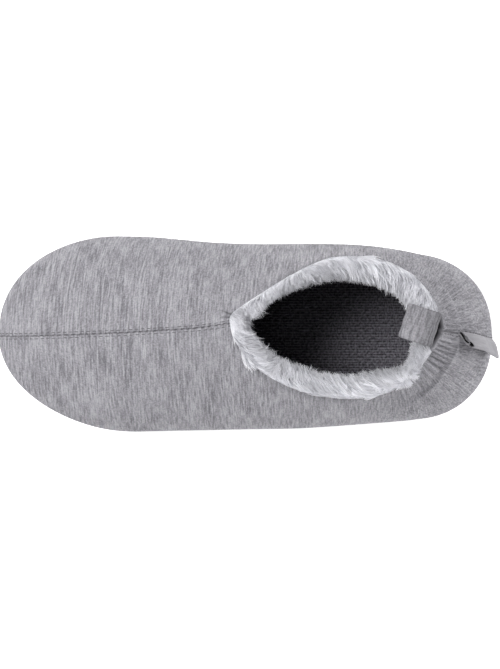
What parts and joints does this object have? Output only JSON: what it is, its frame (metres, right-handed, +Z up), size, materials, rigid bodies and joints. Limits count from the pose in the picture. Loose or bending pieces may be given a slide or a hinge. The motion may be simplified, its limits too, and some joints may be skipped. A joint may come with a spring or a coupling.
{
  "type": "slipper boot",
  "caption": "Low soft slipper boot for the left foot: grey jersey upper with elastic back, fur collar, pull loop, folded heel tag, terry footbed and plain rubber sole.",
  "frame": {"origin": "on the floor, below the middle of the shoe's length and width", "axes": "+X towards the toe, +Y towards the outer side of the foot, +Z up from the floor"},
  "size_m": [0.2671, 0.1048, 0.1171],
  "materials": {
    "jersey": "heathered grey knit, matte",
    "fur": "pale grey fake fur",
    "footbed": "charcoal ribbed terry",
    "rubber": "dark grey, matte",
    "tag": "plain grey tape"
  },
  "bodies": {
    "root": {"outsole": "rubber", "insole": "footbed", "upper": "jersey", "fur_collar": "fur", "pull_loop": "jersey", "heel_tag": "tag"}
  },
  "joints": []
}
